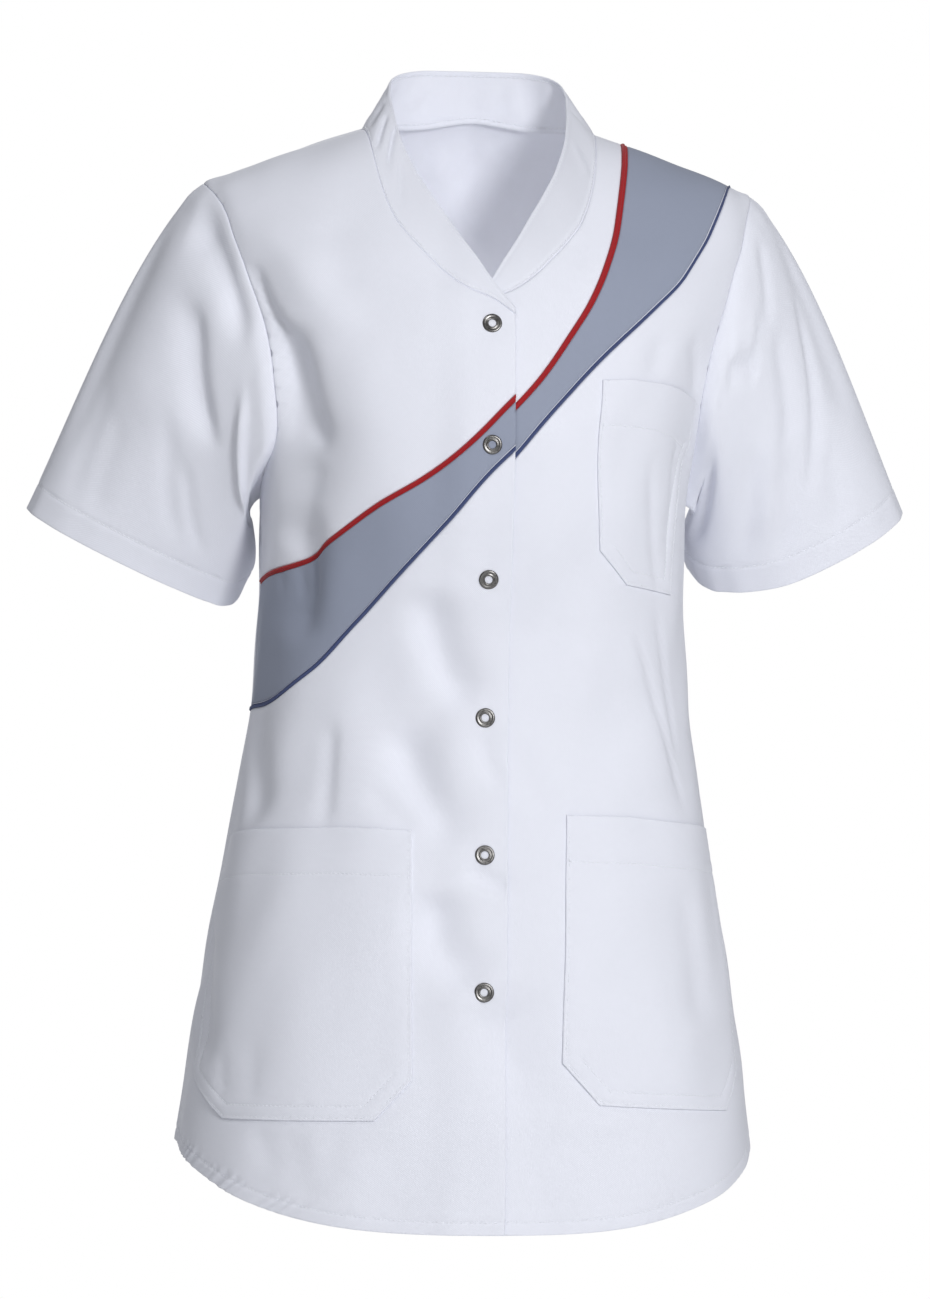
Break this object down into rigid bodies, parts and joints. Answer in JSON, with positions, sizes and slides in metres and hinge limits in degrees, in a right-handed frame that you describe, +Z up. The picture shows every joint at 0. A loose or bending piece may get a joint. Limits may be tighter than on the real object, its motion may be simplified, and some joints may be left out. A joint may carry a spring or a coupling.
{
  "type": "work tunic",
  "caption": "Short-sleeved work tunic, filled out as worn: V neck with a stand collar, ring-snap front, slanting contrast band edged with piping, chest and hip patch pockets.",
  "frame": {"origin": "middle of the neck base, level with the neck ends of the shoulder seams, where the wearer's neck and shoulders hold the tunic up (mount wearer)", "axes": "+Z up the wearer, +X to the wearer's left, the front faces -Y"},
  "size_m": [0.5776, 0.2921, 0.745],
  "materials": {
    "white_cloth": "matte woven cloth, white with a cool cast",
    "slate_cloth": "matte woven cloth, slate grey",
    "red_piping": "matte woven tape over cord, red",
    "blue_piping": "matte woven tape over cord, dark blue",
    "snap_metal": "dark nickel"
  },
  "bodies": {
    "root": {"back": "white_cloth", "collar": "white_cloth", "front_right_upper": "white_cloth", "front_right_band": "slate_cloth", "front_right_lower": "white_cloth", "front_left_upper": "white_cloth", "front_left_band": "slate_cloth", "front_left_lower": "white_cloth", "piping_red_right": "red_piping", "piping_red_left": "red_piping", "piping_blue_right": "blue_piping", "piping_blue_left": "blue_piping", "pocket_chest": "white_cloth", "pocket_left": "white_cloth", "pocket_right": "white_cloth", "sleeve_left": "white_cloth", "sleeve_right": "white_cloth", "snap_1": "snap_metal", "snap_2": "snap_metal", "snap_3": "snap_metal", "snap_4": "snap_metal", "snap_5": "snap_metal", "snap_6": "snap_metal"}
  },
  "joints": []
}
